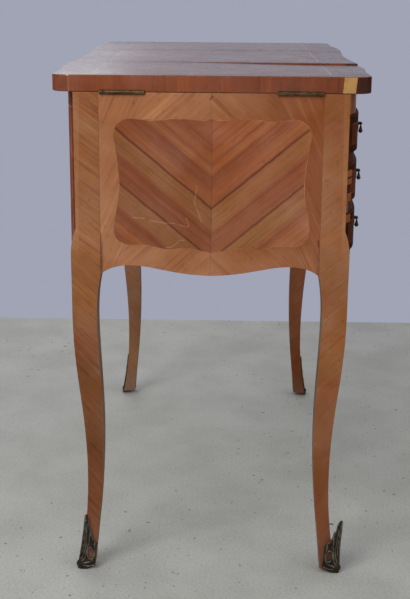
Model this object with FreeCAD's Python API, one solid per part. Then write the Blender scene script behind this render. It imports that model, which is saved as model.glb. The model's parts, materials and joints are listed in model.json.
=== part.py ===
import FreeCAD, Part
import math
import os

# A poudreuse: a small dressing table on cabriole legs. Its top is three leaves: the outer two fold out
# sideways over deep wells, and the middle one lifts to show a looking glass. A writing slide and a drawer
# stand over the kneehole, and a column of drawers on each side of it.
# X runs along the front from left to right, Y from front to back and Z up, with the floor at zero.

Vector = FreeCAD.Vector
along_x = Vector(1, 0, 0)
along_y = Vector(0, 1, 0)
along_z = Vector(0, 0, 1)
centre = Vector(0, 0, 0)

# Overall sizes, in millimetres
table_height = 720.0
table_length = 756.0
table_depth = 368.0
lid_thickness = 22.4
running_gap = 0.3
pin_clearance = 0.05
level_tolerance = 0.02
overrun = 60.0

# Corner posts, which run down into cabriole legs
post_width = 34.0
knee_top = 512.0
bracket_level = 449.0
side_swell_share = 0.6
leg_outer_shares = [(1.0, 0.0), (0.957, 0.175), (0.9, 0.2), (0.756, 0.195), (0.63, 0.11), (0.475, -0.12),
                    (0.293, -0.256), (0.158, -0.18), (0.0, 0.176)]
leg_inner_shares = [(1.0, -1.0), (0.915, -0.84), (0.81, -0.825), (0.653, -0.91), (0.532, -0.965),
                    (0.334, -0.915), (0.2, -0.785), (0.067, -0.606), (0.0, -0.54)]

# The sole of a foot, along the diagonal from its toe: it curls up at the toe, stands flat and rises to the heel
sole_toe_length = 5.5
sole_toe_rise = 5.0
sole_toe_shares = [(0.0, 1.0), (0.2, 0.42), (0.55, 0.1), (1.0, 0.0)]
sole_flat = 4.5
sole_heel_length = 30.0
sole_heel_rise = 8.0
sole_heel_shares = [(0.0, 0.0), (0.17, 0.32), (0.3, 0.57), (0.65, 0.88), (1.0, 1.0)]

# Plan of the front, swelling out over each column and falling back at the kneehole
column_bow = 20.0
bow_place_shares = [0.0, 0.35, 0.58, 0.785, 0.924, 1.0]
bow_depth_shares = [0.575, 0.87, 1.0, 0.925, 0.55, -0.05]
front_proud = 4.0
back_proud = 1.0
board_seat = 8.0

# Carcass boards
panel_thickness = 16.0
divider_thickness = 16.0
divider_place = 140.0
board_thickness = 16.0
column_floor_thickness = 12.0
thin_board = 8.0
tongue_depth = 6.0
tongue_thickness = 5.0
tongue_stop = 12.0

# Heights of the openings, from the top down
frieze_height = 32.3
well_front_height = 51.0
upper_opening = 53.0
lower_opening = 55.0
slide_opening = 15.0
centre_opening = 68.0
apron_height = 31.0
kneehole_rise = 19.0

# Side apron, cut along the lower edge of each side panel
side_arch_level = 461.0
side_belly_level = 448.0
side_arch_place_share = 0.8
side_bracket_place_share = 0.92
side_bracket_rise_share = 0.62

# Lid outline
lid_reach = 29.0
lid_corner_radius = 20.0
lid_edge_round = 1.6
leaf_gap = 0.8
lid_place_shares = [0.0, 0.32, 0.62, 0.8, 0.9]
lid_reach_shares = [0.9, 1.1, 1.155, 0.98, 1.0]

# Looking glass and its frame, under the middle leaf
frame_thickness = 10.0
frame_side_gap = 5.0
frame_width = 20.0
frame_front_gap = 8.0
frame_back_gap = 26.0
frame_lip = 10.0
frame_arch_rise = 26.0
glass_thickness = 3.0

# Butt hinges
barrel_radius = 3.0
pin_radius = 1.5
hinge_length = 60.0
hinge_leaf_width = 14.0
hinge_leaf_thickness = 1.5
hinge_offset = 1.0
knuckle_count = 5
side_hinge_inset = 1.5
back_hinge_inset = 15.0
back_hinge_stand_off = 3.5

# Drawers
front_gap = 1.0
side_clearance = 0.6
drawer_headroom = 3.0
drawer_side_thickness = 8.0
drawer_bottom_thickness = 5.0
drawer_bottom_inset = 3.0
drawer_back_gap = 26.0
drawer_groove = 3.0
tail_count = 3
tail_length = 7.0
tail_root_share = 0.5
tail_flare_share = 0.16
guide_height = 10.0

# Keyhole of the centre drawer
keyhole_radius = 2.6
keyhole_slot = 2.4
keyhole_length = 9.0
keyhole_depth = 10.0
keyhole_drop = 14.0

# Writing slide
slide_back_gap = 46.0
slide_rail_depth = 40.0
slide_runner_width = 12.0
slide_runner_height = 10.0
leather_thickness = 1.0
leather_border = 22.0
leather_back_border = 54.0
knob_place_share = 0.59
knob_radius = 6.0
knob_head_depth = 8.0
knob_reach = 13.0
knob_neck_radius = 2.6
knob_root = 6.0

# Drop pulls
rosette_radius = 8.0
rosette_thickness = 2.0
rosette_fit = 0.05
rosette_root = 6.0
rosette_round_share = 0.5
pull_lift = 4.0
pull_stand_off = 3.8
cheek_thickness = 1.4
eye_width = 2.2
eye_radius = 1.9
pull_pin_radius = 0.8
drop_length = 14.0
drop_radius = 3.1
drop_neck_radius = 1.0
drop_neck_top_share = 0.07
drop_neck_foot_share = 0.22
drop_flank_height_share = 0.5
drop_flank_radius_share = 0.62

# Bronze shoes on the feet
shoe_height = 82.5
shoe_side_height = 36.5
shoe_thickness = 1.8
shoe_fit = 0.2
shoe_outline_shares = [(0.0, 1.0), (0.18, 0.98), (0.27, 0.85), (0.3, 0.58), (0.38, 0.38), (0.48, 0.16),
                       (0.62, 0.03), (1.0, 0.0)]
scroll_radius = 5.6
scroll_length = 12.0
scroll_inset = 4.0
scroll_round = 1.6
oval_width = 7.5
oval_height = 15.5
oval_level = 23.5
oval_place_share = 0.34
loose_shoe_lean = 12.0
loose_shoe_heading = 57.0
loose_shoe_slip = 2.5

# Places worked out from the sizes above
half_length = table_length / 2
half_depth = table_depth / 2
lid_underside = table_height - lid_thickness
carcass_top = lid_underside - running_gap
bay_half = half_length - post_width
post_inner_y = half_depth - post_width
panel_inner_x = half_length - panel_thickness
inner_plane = half_depth - board_seat
divider_outer = divider_place + divider_thickness / 2
divider_inner = divider_place - divider_thickness / 2
frieze_bottom = carcass_top - frieze_height
well_floor_top = frieze_bottom - well_front_height
well_floor_bottom = well_floor_top - board_thickness
dustboard_top = well_floor_bottom - upper_opening
dustboard_bottom = dustboard_top - board_thickness
column_floor_top = dustboard_bottom - lower_opening
column_floor_bottom = column_floor_top - column_floor_thickness
slide_rail_top = frieze_bottom - slide_opening
slide_rail_bottom = slide_rail_top - board_thickness
kneehole_top = slide_rail_bottom - centre_opening
apron_bottom = kneehole_top - apron_height
front_limit = half_depth + overrun
toe_reach = leg_outer_shares[-1][1] * post_width + shoe_fit + shoe_thickness
column_centre = (divider_outer + bay_half) / 2
drawer_inside_end = inner_plane - drawer_back_gap
slide_inside_end = inner_plane - slide_back_gap
knob_place = knob_place_share * divider_inner
side_hinge_place = post_inner_y - side_hinge_inset - hinge_length / 2
back_hinge_place = divider_place - back_hinge_inset - hinge_length / 2
hinge_level = (carcass_top + lid_underside) / 2
side_hinge_x = half_length + hinge_offset
back_hinge_y = half_depth + column_bow + back_hinge_stand_off


def box(x_low, x_high, y_low, y_high, z_low, z_high):
    return Part.makeBox(x_high - x_low, y_high - y_low, z_high - z_low, Vector(x_low, y_low, z_low))


def spline(points, start_tangent=None, end_tangent=None):
    curve = Part.BSplineCurve()
    if start_tangent is None:
        curve.interpolate(Points=points)
    else:
        curve.interpolate(Points=points, InitialTangent=start_tangent, FinalTangent=end_tangent)
    return curve.toShape()


def run_of_lines(points):
    return [Part.LineSegment(a, b).toShape() for a, b in zip(points, points[1:])]


def prism(edges, direction):
    wire = Part.Wire(Part.__sortEdges__(edges))
    return Part.Face(wire).extrude(direction)


def mirrored_x(shape):
    return shape.mirror(centre, along_x)


def mirrored_y(shape):
    return shape.mirror(centre, along_y)


def save(name, shape):
    shape.exportStep("parts/" + name + ".step")
    print(name, len(shape.Solids), round(shape.Volume), shape.isValid())


def save_pair(name, shape):
    save(name + "_right", shape)
    save(name + "_left", mirrored_x(shape))


# Plan of the carcass between the posts, with its front on the bowed line
def carcass_plan(proud):
    half = [Vector(share * bay_half, -(half_depth + bow * column_bow + proud), 0)
            for share, bow in zip(bow_place_shares, bow_depth_shares)]
    left_half = [Vector(-point.x, point.y, 0) for point in reversed(half[1:])]
    line = left_half + half
    corners = [line[-1], Vector(bay_half, -post_inner_y, 0), Vector(half_length, -post_inner_y, 0),
               Vector(half_length, post_inner_y, 0), Vector(bay_half, post_inner_y, 0),
               Vector(bay_half, inner_plane, 0), Vector(-bay_half, inner_plane, 0),
               Vector(-bay_half, post_inner_y, 0), Vector(-half_length, post_inner_y, 0),
               Vector(-half_length, -post_inner_y, 0), Vector(-bay_half, -post_inner_y, 0), line[0]]
    return prism([spline(line)] + run_of_lines(corners), along_z * table_height)


rail_plan = carcass_plan(0)
drawer_plan = carcass_plan(front_proud)
back_plan = mirrored_y(carcass_plan(back_proud))


# One face of the leg template: offsets from the post's outer face against height
def leg_template(swell_share, outer_shift):
    outer = []
    for height_share, offset_share in leg_outer_shares:
        offset = offset_share * post_width
        if offset > 0 and height_share > 0:
            offset = offset * swell_share
        outer.append(Vector(0, offset + outer_shift, height_share * knee_top))
    inner = [Vector(0, offset_share * post_width, height_share * bracket_level)
             for height_share, offset_share in reversed(leg_inner_shares)]
    top_inner = Vector(0, -post_width, carcass_top)
    top_outer = Vector(0, outer_shift, carcass_top)
    edges = [spline(outer), spline(inner)]
    edges += run_of_lines([outer[-1], inner[0]])
    edges += run_of_lines([inner[-1], top_inner, top_outer, outer[0]])
    return prism(edges, along_x * (post_width + overrun))


# The leg is sawn from both sides with the template, so it is what the two sawings leave
def leg_blank(outer_shift):
    from_side = leg_template(1.0, outer_shift)
    from_side.translate(Vector(half_length - post_width, half_depth, 0))
    from_front = leg_template(side_swell_share, outer_shift)
    from_front = from_front.mirror(centre, Vector(1, -1, 0))
    from_front.translate(Vector(half_length, half_depth - post_width, 0))
    return from_side.common(from_front)


# What is cut from under a foot, with its shoe: the line of the sole, drawn across the diagonal
def sole():
    toe = [Vector(0, -share * sole_toe_length, rise * sole_toe_rise) for share, rise in sole_toe_shares]
    heel_start = sole_toe_length + sole_flat
    heel = [Vector(0, -heel_start - share * sole_heel_length, rise * sole_heel_rise)
            for share, rise in sole_heel_shares]
    corners = [heel[-1], Vector(0, heel[-1].y - overrun, heel[-1].z), Vector(0, heel[-1].y - overrun, -overrun),
               Vector(0, overrun, -overrun), Vector(0, overrun, toe[0].z), toe[0]]
    under = prism([spline(toe), spline(heel)] + run_of_lines([toe[-1], heel[0]]) + run_of_lines(corners),
                  along_x * (2 * overrun))
    under.translate(Vector(-overrun, 0, 0))
    under.rotate(centre, along_z, -45)
    under.translate(Vector(half_length + toe_reach, half_depth + toe_reach, 0))
    return under


def panel_tongue():
    mid = half_length - panel_thickness / 2
    return box(mid - tongue_thickness / 2, mid + tongue_thickness / 2,
               -post_inner_y - tongue_depth, post_inner_y + tongue_depth,
               column_floor_top, carcass_top - tongue_stop)


def back_tongue():
    mid = (inner_plane + half_depth) / 2
    return box(-bay_half - tongue_depth, bay_half + tongue_depth,
               mid - tongue_thickness / 2, mid + tongue_thickness / 2,
               column_floor_top, carcass_top - tongue_stop)


def legs():
    back_leg = leg_blank(0).cut(sole()).cut(panel_tongue()).removeSplitter()
    front_leg = mirrored_y(back_leg)
    save_pair("leg_back", back_leg.cut(back_tongue()))
    save_pair("leg_front", front_leg)


# What a shoe covers on one face of the foot: all of it below, with an oval piercing, and a tongue above
def shoe_face():
    rise = shoe_height - shoe_side_height
    outline = [Vector(0, -share * post_width, shoe_side_height + height_share * rise)
               for share, height_share in shoe_outline_shares]
    first = Vector(0, overrun, shoe_height)
    last = Vector(0, -overrun, shoe_side_height)
    corners = [outline[-1], last, Vector(0, last.y, -overrun), Vector(0, overrun, -overrun), first, outline[0]]
    covered = prism([spline(outline)] + run_of_lines(corners), along_x * (post_width + 2 * overrun))
    oval = Part.Ellipse(centre, oval_height / 2, oval_width / 2).toShape()
    oval.rotate(centre, along_y, -90)
    oval.translate(Vector(0, -oval_place_share * post_width, oval_level))
    return covered, prism([oval], along_x * (post_width + 2 * overrun))


# A bronze shoe wraps the two outer faces of a foot and climbs in a tongue up the outer arris
def shoe():
    shell = leg_blank(shoe_thickness + shoe_fit)
    face, oval = shoe_face()
    for piece, keep in ((face, True), (oval, False)):
        from_side = piece.copy()
        from_side.translate(Vector(half_length - post_width - overrun, half_depth, 0))
        from_front = piece.mirror(centre, Vector(1, -1, 0))
        from_front.translate(Vector(half_length, half_depth - post_width - overrun, 0))
        if keep:
            shell = shell.common(from_side).common(from_front)
        else:
            shell = shell.cut(from_side).cut(from_front)
    toe = leg_outer_shares[-1][1] * post_width - scroll_inset
    scroll = Part.makeCylinder(scroll_radius, scroll_length, Vector(-scroll_length / 2, 0, scroll_radius), along_x)
    rims = [edge for edge in scroll.Edges if edge.BoundBox.XLength < level_tolerance]
    scroll = scroll.makeFillet(scroll_round, rims)
    scroll.rotate(centre, along_z, -45)
    scroll.translate(Vector(half_length + toe, half_depth + toe, 0))
    return shell.fuse(scroll).cut(leg_blank(shoe_fit)).cut(sole())


# The bronze on the front left foot has come loose: it has slipped forwards and leans out on its toe
def shoes():
    save_pair("shoe_back", shoe())
    right_front = mirrored_y(shoe())
    save("shoe_front_right", right_front)
    loose = mirrored_x(right_front)
    ball = toe_reach - sole_toe_length * math.cos(math.radians(45))
    heading = math.radians(loose_shoe_heading)
    away = Vector(-math.cos(heading), -math.sin(heading), 0)
    loose.rotate(Vector(-half_length - ball, -half_depth - ball, 0), along_z.cross(away), loose_shoe_lean)
    loose.translate(Vector(0, -loose_shoe_slip, -loose.optimalBoundingBox(False, False).ZMin))
    save("shoe_front_left", loose)


# Hinges are drawn round their own axis, with the plates running towards +X
def knuckle_ends(index):
    length = hinge_length / knuckle_count
    start = -hinge_length / 2 + index * length
    return start + running_gap / 2, start + length - running_gap / 2


def hinge_leaf(moving):
    low = running_gap / 2 if moving else -running_gap / 2 - hinge_leaf_thickness
    high = low + hinge_leaf_thickness
    start = barrel_radius + running_gap
    leaf = box(start, hinge_leaf_width, -hinge_length / 2, hinge_length / 2, low, high)
    for index in range(1 if moving else 0, knuckle_count, 2):
        y_low, y_high = knuckle_ends(index)
        barrel = Part.makeCylinder(barrel_radius, y_high - y_low, Vector(0, y_low, 0), along_y)
        leaf = leaf.fuse(box(0, start, y_low, y_high, low, high)).fuse(barrel)
    bore = Part.makeCylinder(pin_radius + pin_clearance, hinge_length, Vector(0, -hinge_length / 2, 0), along_y)
    return leaf.cut(bore).removeSplitter()


def hinge_pin():
    return Part.makeCylinder(pin_radius, hinge_length, Vector(0, -hinge_length / 2, 0), along_y)


# What a hinge takes out of the board under it (moving False) or the leaf over it (moving True)
def hinge_seat(moving):
    room = Part.makeCylinder(barrel_radius + running_gap, hinge_length + 2 * running_gap,
                             Vector(0, -hinge_length / 2 - running_gap, 0), along_y)
    low = 0 if moving else -running_gap / 2 - hinge_leaf_thickness
    high = running_gap / 2 + hinge_leaf_thickness if moving else 0
    return room.fuse(box(0, hinge_leaf_width, -hinge_length / 2, hinge_length / 2, low, high))


def at_side(shape, y_sign):
    placed = shape.copy()
    placed.rotate(centre, along_z, 180)
    placed.translate(Vector(side_hinge_x, y_sign * side_hinge_place, hinge_level))
    return placed


def at_back(shape, x_sign):
    placed = shape.copy()
    placed.rotate(centre, along_z, -90)
    placed.translate(Vector(x_sign * back_hinge_place, back_hinge_y, hinge_level))
    return placed


def hinges():
    fixed = [hinge_leaf(False), hinge_pin()]
    plates = [at_side(piece, sign) for piece in fixed for sign in (-1, 1)]
    plates += [mirrored_x(piece) for piece in plates]
    plates += [at_back(piece, sign) for piece in fixed for sign in (-1, 1)]
    save("hinge_plates", Part.makeCompound(plates))
    moving = hinge_leaf(True)
    save_pair("flap_hinge_leaves", Part.makeCompound([at_side(moving, sign) for sign in (-1, 1)]))
    save("mirror_hinge_leaves", Part.makeCompound([at_back(moving, sign) for sign in (-1, 1)]))


# Side panel with its shaped apron
def side_panel():
    arch_y = side_arch_place_share * post_inner_y
    bracket_y = side_bracket_place_share * post_inner_y
    bracket_z = bracket_level + side_bracket_rise_share * (side_arch_level - bracket_level)
    half = [Vector(panel_inner_x, 0, side_belly_level),
            Vector(panel_inner_x, arch_y / 2, (side_belly_level + side_arch_level) / 2),
            Vector(panel_inner_x, arch_y, side_arch_level),
            Vector(panel_inner_x, bracket_y, bracket_z),
            Vector(panel_inner_x, post_inner_y, bracket_level)]
    other = [Vector(point.x, -point.y, point.z) for point in reversed(half[1:])]
    line = other + half
    corners = [line[-1], Vector(panel_inner_x, post_inner_y, carcass_top),
               Vector(panel_inner_x, -post_inner_y, carcass_top), line[0]]
    panel = prism([spline(line)] + run_of_lines(corners), along_x * panel_thickness)
    panel = panel.fuse(panel_tongue()).removeSplitter()
    for sign in (-1, 1):
        panel = panel.cut(at_side(hinge_seat(False), sign))
    return panel


def kneehole_arch(y_low, y_high):
    ends = [Vector(-divider_inner, y_low, apron_bottom), Vector(divider_inner, y_low, apron_bottom)]
    arch = Part.Arc(ends[0], Vector(0, y_low, apron_bottom + kneehole_rise), ends[1]).toShape()
    corners = [ends[1], Vector(divider_inner, y_low, column_floor_bottom - overrun),
               Vector(-divider_inner, y_low, column_floor_bottom - overrun), ends[0]]
    return prism([arch] + run_of_lines(corners), along_y * (y_high - y_low))


def back_panel():
    panel = box(-bay_half, bay_half, inner_plane, front_limit, column_floor_bottom, carcass_top)
    panel = panel.common(back_plan).fuse(back_tongue()).removeSplitter()
    panel = panel.cut(kneehole_arch(inner_plane - overrun, front_limit))
    for sign in (-1, 1):
        panel = panel.cut(at_back(hinge_seat(False), sign))
    return panel


def divider():
    board = box(divider_inner, divider_outer, -front_limit, inner_plane, column_floor_bottom, carcass_top)
    behind_frieze = box(divider_inner, divider_outer, -front_limit, -inner_plane, frieze_bottom, table_height)
    return board.common(rail_plan).cut(behind_frieze)


def column_board(z_low, z_high):
    return box(divider_outer, panel_inner_x, -front_limit, inner_plane, z_low, z_high).common(rail_plan)


def front_board(x_low, x_high, z_low, z_high, plan):
    return box(x_low, x_high, -front_limit, -inner_plane, z_low, z_high).common(plan)


def carcass():
    save_pair("side_panel", side_panel())
    save("back_panel", back_panel())
    save_pair("divider", divider())
    save("frieze_rail", front_board(-bay_half, bay_half, frieze_bottom, carcass_top, rail_plan))
    save_pair("well_front", front_board(divider_outer + front_gap, bay_half - front_gap,
                                        well_floor_top, frieze_bottom - front_gap, drawer_plan))
    save_pair("well_floor", column_board(well_floor_bottom, well_floor_top))
    save_pair("dustboard", column_board(dustboard_bottom, dustboard_top))
    save_pair("column_floor", column_board(column_floor_bottom, column_floor_top))
    save("mirror_well_floor", box(-divider_inner, divider_inner, -inner_plane, inner_plane,
                                  frieze_bottom, frieze_bottom + thin_board))
    slide_rail = box(-divider_inner, divider_inner, -front_limit, slide_rail_depth - inner_plane,
                     slide_rail_bottom, slide_rail_top)
    save("slide_rail", slide_rail.common(rail_plan))
    save("kneehole_board", box(-divider_inner, divider_inner, -inner_plane, inner_plane,
                               kneehole_top - thin_board, kneehole_top))
    apron = front_board(-divider_inner, divider_inner, apron_bottom, kneehole_top, rail_plan)
    save("kneehole_apron", apron.cut(kneehole_arch(-front_limit, overrun - inner_plane)))
    save("runners", runners())


# Strips that guide the drawers beside the posts, and carry the writing slide
def runners():
    strips = [box(bay_half, panel_inner_x, -post_inner_y, post_inner_y, level, level + guide_height)
              for level in (column_floor_top, dustboard_top)]
    strips.append(box(divider_inner - slide_runner_width, divider_inner, slide_rail_depth - inner_plane,
                      inner_plane, slide_rail_top - slide_runner_height, slide_rail_top))
    return Part.makeCompound(strips + [mirrored_x(strip) for strip in strips])


# The lid's outline: straight ends, round ears and a bowed front and back
def lid_blank():
    ear_x = half_length - lid_corner_radius
    ear_y = half_depth + lid_reach
    half = [Vector(share * half_length, -(half_depth + reach * lid_reach), lid_underside)
            for share, reach in zip(lid_place_shares, lid_reach_shares)]
    half.append(Vector(ear_x, -ear_y, lid_underside))
    line = [Vector(-point.x, point.y, point.z) for point in reversed(half[1:])] + half
    front = spline(line, along_x, along_x)
    turn = lid_corner_radius * math.sin(math.radians(45))
    mid = Vector(ear_x + turn, -(ear_y - lid_corner_radius + turn), lid_underside)
    end = Vector(half_length, -(ear_y - lid_corner_radius), lid_underside)
    corner = Part.Arc(line[-1], mid, end).toShape()
    front_edges = [front, corner, mirrored_x(corner)]
    sides = run_of_lines([end, Vector(end.x, -end.y, end.z)])
    sides += run_of_lines([Vector(-end.x, end.y, end.z), Vector(-end.x, -end.y, end.z)])
    edges = front_edges + [mirrored_y(edge) for edge in front_edges] + sides
    return prism(edges, along_z * lid_thickness)


def rounded_leaf(leaf):
    edges = [edge for edge in leaf.Edges
             if abs(edge.BoundBox.ZMin - edge.BoundBox.ZMax) < level_tolerance]
    return leaf.makeFillet(lid_edge_round, edges)


def leaf_between(x_low, x_high):
    reach = front_limit + overrun
    leaf = lid_blank().common(box(x_low, x_high, -reach, reach, lid_underside, table_height))
    return rounded_leaf(leaf)


def top_leaves():
    flap = leaf_between(divider_place + leaf_gap / 2, half_length + overrun)
    for sign in (-1, 1):
        flap = flap.cut(at_side(hinge_seat(True), sign))
    save_pair("flap", flap)
    middle = leaf_between(leaf_gap / 2 - divider_place, divider_place - leaf_gap / 2)
    for sign in (-1, 1):
        middle = middle.cut(at_back(hinge_seat(True), sign))
    save("mirror_leaf", middle)


# A panel with a shaped top, lying face down: its top edge is towards the front
def glass_outline(half_width, y_top, y_foot, rise, z_low, thickness):
    shoulder = y_top + rise
    arch = Part.Arc(Vector(-half_width, shoulder, z_low), Vector(0, y_top, z_low),
                    Vector(half_width, shoulder, z_low)).toShape()
    corners = [Vector(half_width, shoulder, z_low), Vector(half_width, y_foot, z_low),
               Vector(-half_width, y_foot, z_low), Vector(-half_width, shoulder, z_low)]
    return prism([arch] + run_of_lines(corners), along_z * thickness)


def looking_glass():
    half_width = divider_inner - frame_side_gap
    y_top = frame_front_gap - inner_plane
    y_foot = inner_plane - frame_back_gap
    frame_bottom = lid_underside - frame_thickness
    glass_bottom = lid_underside - glass_thickness
    frame = box(-half_width, half_width, y_top, y_foot, frame_bottom, lid_underside)
    sight = glass_outline(half_width - frame_width, y_top + frame_width, y_foot - frame_width,
                          frame_arch_rise, frame_bottom, frame_thickness)
    rebate = frame_width - frame_lip
    glass = glass_outline(half_width - rebate, y_top + rebate, y_foot - rebate,
                          frame_arch_rise, glass_bottom, glass_thickness)
    save("mirror_frame", frame.cut(sight).cut(glass))
    save("mirror_glass", glass)


def writing_slide():
    half_width = divider_inner - side_clearance
    bottom = slide_rail_top + running_gap
    top = frieze_bottom - running_gap
    board = box(-half_width, half_width, -front_limit, slide_inside_end, bottom, top).common(drawer_plan)
    leather = box(leather_border - half_width, half_width - leather_border,
                  leather_border - inner_plane, slide_inside_end - leather_back_border,
                  top - leather_thickness, top)
    save("writing_slide", board.cut(leather))
    save("slide_leather", leather)
    save("slide_knobs", Part.makeCompound([knob(-knob_place), knob(knob_place)]))


def front_face_y(x, plan):
    ray = Part.makeLine(Vector(x, -front_limit, slide_rail_top), Vector(x, 0, slide_rail_top))
    return min(vertex.Point.y for vertex in ray.common(plan).Vertexes)


# A small turned knob with a flattened round head, standing on the bowed front of the writing slide
def knob(x):
    middle = slide_rail_top + slide_opening / 2
    half_head = knob_head_depth / 2
    head_centre = Vector(0, half_head - knob_reach, 0)
    turn = math.acos(knob_neck_radius / knob_radius)
    head = Part.ArcOfEllipse(Part.Ellipse(head_centre, knob_radius, half_head), -math.pi / 2, turn)
    neck_end = Vector(knob_neck_radius, head_centre.y + half_head * math.sin(turn), 0)
    outline = [neck_end, Vector(knob_neck_radius, knob_root, 0), Vector(0, knob_root, 0),
               Vector(0, -knob_reach, 0)]
    edges = [head.toShape()] + run_of_lines(outline)
    turned = Part.Face(Part.Wire(Part.__sortEdges__(edges))).revolve(centre, along_y, 360)
    turned.translate(Vector(x, front_face_y(x, drawer_plan), middle))
    fitted = drawer_plan.copy()
    fitted.translate(Vector(0, -rosette_fit, 0))
    return turned.cut(fitted)


# A row of dovetails, flaring from their root at y_root to their ends at y_end
def tails(x_low, x_high, y_root, y_end, z_low, z_high):
    pitch = (z_high - z_low) / tail_count
    half_root = tail_root_share * pitch / 2
    half_end = half_root + tail_flare_share * abs(y_end - y_root)
    row = []
    for index in range(tail_count):
        middle = z_low + (index + 1 / 2) * pitch
        corners = [Vector(x_low, y_root, middle - half_root), Vector(x_low, y_end, middle - half_end),
                   Vector(x_low, y_end, middle + half_end), Vector(x_low, y_root, middle + half_root)]
        row.append(prism(run_of_lines(corners + corners[:1]), along_x * (x_high - x_low)))
    return Part.makeCompound(row)


# A drawer in the opening between x_low and x_high: a bowed front, lap-dovetailed to its sides, and a back
# through-dovetailed between them, with the bottom in grooves
def drawer(x_low, x_high, z_low, z_high):
    front = front_board(x_low + front_gap, x_high - front_gap, z_low + front_gap, z_high - front_gap,
                        drawer_plan)
    left = x_low + side_clearance
    right = x_high - side_clearance
    bottom = z_low + running_gap
    top = z_high - drawer_headroom
    wall = drawer_side_thickness
    board_low = bottom + drawer_bottom_inset
    board_high = board_low + drawer_bottom_thickness
    back_top = top - drawer_bottom_inset
    inside = drawer_inside_end - wall
    board = box(left + wall - drawer_groove, right - wall + drawer_groove, -inner_plane - drawer_groove,
                drawer_inside_end, board_low, board_high)
    back = box(left, right, inside, drawer_inside_end, board_high, back_top)
    sides = []
    for low, high in ((left, left + wall), (right - wall, right)):
        back = back.cut(tails(low, high, inside, drawer_inside_end, board_high, back_top))
        side = box(low, high, -inner_plane, drawer_inside_end, bottom, top)
        joints = tails(low, high, -inner_plane, -inner_plane - tail_length, z_low + front_gap, top)
        sides.append(side.fuse(joints.Solids).removeSplitter())
    sides = [side.cut(back).cut(board) for side in sides]
    front = front.cut(Part.makeCompound(sides)).cut(board)
    return front, Part.makeCompound(sides + [back, board])


def keyhole():
    level = slide_rail_bottom - keyhole_drop
    face = front_face_y(0, drawer_plan)
    hole = Part.makeCylinder(keyhole_radius, 2 * keyhole_depth, Vector(0, face - keyhole_depth, level), along_y)
    slot = box(-keyhole_slot / 2, keyhole_slot / 2, face - keyhole_depth, face + keyhole_depth,
               level - keyhole_length, level)
    return hole.fuse(slot)


def drawers():
    rows = {"upper": (dustboard_top, well_floor_bottom), "lower": (column_floor_top, dustboard_bottom)}
    for row, (z_low, z_high) in rows.items():
        front, boards = drawer(divider_outer, bay_half, z_low, z_high)
        save_pair(row + "_drawer_front", front)
        save_pair(row + "_drawer_box", boards)
    front, boards = drawer(-divider_inner, divider_inner, kneehole_top, slide_rail_bottom)
    save("centre_drawer_front", front.cut(keyhole()))
    save("centre_drawer_box", boards)


# Rosette with two cheeks and a cross pin, drawn round the pin's axis with the front towards -Y
def rosette(z, plan):
    disc_face = pull_stand_off
    body = Part.makeCylinder(rosette_radius, rosette_thickness + rosette_root,
                             Vector(0, disc_face, -pull_lift), along_y)
    rim = [edge for edge in body.Edges if edge.BoundBox.YMax < disc_face + level_tolerance]
    body = body.makeFillet(rosette_thickness * rosette_round_share, rim)
    inner = eye_width / 2 + running_gap
    for low in (inner, -inner - cheek_thickness):
        cheek = box(low, low + cheek_thickness, 0, disc_face + rosette_thickness, -eye_radius, eye_radius)
        nose = Part.makeCylinder(eye_radius, cheek_thickness, Vector(low, 0, 0), along_x)
        body = body.fuse(cheek).fuse(nose)
    pin_half = inner + cheek_thickness
    pin = Part.makeCylinder(pull_pin_radius, 2 * pin_half, Vector(-pin_half, 0, 0), along_x)
    body = body.fuse(pin).removeSplitter()
    body.translate(pull_place(z))
    seat = plan.copy()
    seat.translate(Vector(0, -rosette_fit, 0))
    return body.cut(seat)


def pull_place(z):
    face = front_face_y(column_centre, drawer_plan)
    return Vector(column_centre, face - rosette_thickness - pull_stand_off, z + pull_lift)


# The drop: an eye round the cross pin, a neck and a pear
def drop(z):
    eye = Part.makeCylinder(eye_radius, eye_width, Vector(-eye_width / 2, 0, 0), along_x)
    neck_top = -drop_neck_top_share * drop_length
    shoulder = Vector(drop_neck_radius, 0, -drop_neck_foot_share * drop_length)
    flank = Vector(drop_flank_radius_share * drop_radius, 0, -drop_flank_height_share * drop_length)
    widest = Vector(drop_radius, 0, drop_radius - drop_length)
    outline = [Vector(0, 0, neck_top), Vector(drop_neck_radius, 0, neck_top), shoulder]
    pear = spline([shoulder, flank, widest])
    turn = drop_radius * math.sin(math.radians(45))
    foot = Part.Arc(widest, Vector(turn, 0, widest.z - turn), Vector(0, 0, -drop_length)).toShape()
    edges = run_of_lines(outline) + [pear, foot]
    edges += run_of_lines([Vector(0, 0, -drop_length), outline[0]])
    body = Part.Face(Part.Wire(Part.__sortEdges__(edges))).revolve(centre, along_z, 360)
    bore = Part.makeCylinder(pull_pin_radius + pin_clearance, 2 * eye_width, Vector(-eye_width, 0, 0), along_x)
    hanging = body.fuse(eye).cut(bore).removeSplitter()
    hanging.translate(pull_place(z))
    return hanging


def pulls():
    well_level = (well_floor_top + frieze_bottom) / 2
    plates = [rosette(well_level, drawer_plan)]
    plates.append(mirrored_x(plates[0]))
    save("well_rosettes", Part.makeCompound(plates))
    save_pair("well_drop", drop(well_level))
    rows = {"upper": (dustboard_top + well_floor_bottom) / 2, "lower": (column_floor_top + dustboard_bottom) / 2}
    for row, level in rows.items():
        save_pair(row + "_rosette", rosette(level, drawer_plan))
        save_pair(row + "_drop", drop(level))


os.makedirs("parts", exist_ok=True)
legs()
shoes()
hinges()
carcass()
top_leaves()
looking_glass()
writing_slide()
drawers()
pulls()
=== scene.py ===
import bmesh
import bpy
import json
from math import cos, pi, radians, sin
from mathutils import Matrix, Vector
from mathutils.bvhtree import BVHTree

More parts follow.
